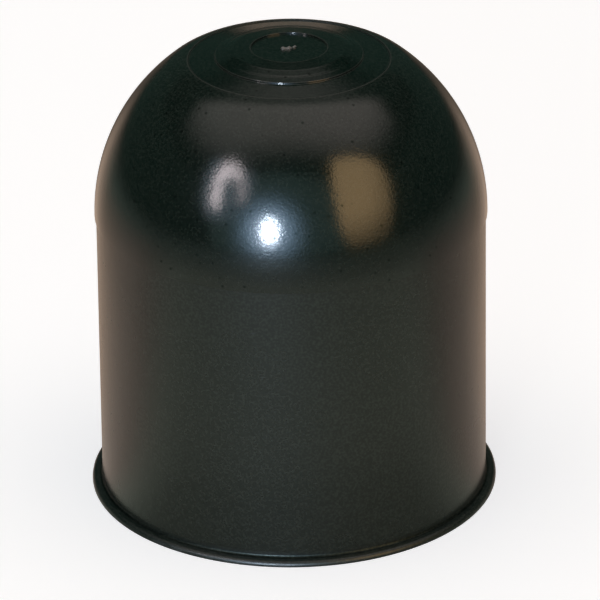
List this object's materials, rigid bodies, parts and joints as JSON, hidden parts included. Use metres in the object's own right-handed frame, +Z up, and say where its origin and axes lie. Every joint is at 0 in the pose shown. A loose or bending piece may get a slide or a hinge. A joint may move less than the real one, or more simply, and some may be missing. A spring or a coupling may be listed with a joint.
{
  "type": "tow ball cover",
  "caption": "One-piece moulded plastic cap with a domed crown, drafted skirt, thin rim and inner grip ribs, pushed over a towing ball to keep it clean.",
  "frame": {"origin": "centre of the rim's flat base, on the cap's axis", "axes": "+Z up along the cap's axis towards the crown; +X through one of the grip ribs"},
  "size_m": [0.0636, 0.0636, 0.0727],
  "materials": {
    "black_plastic": "black polyethylene, polished on the dome and crown, satin on the skirt"
  },
  "bodies": {
    "root": {"ball_cover": "black_plastic"}
  },
  "joints": []
}
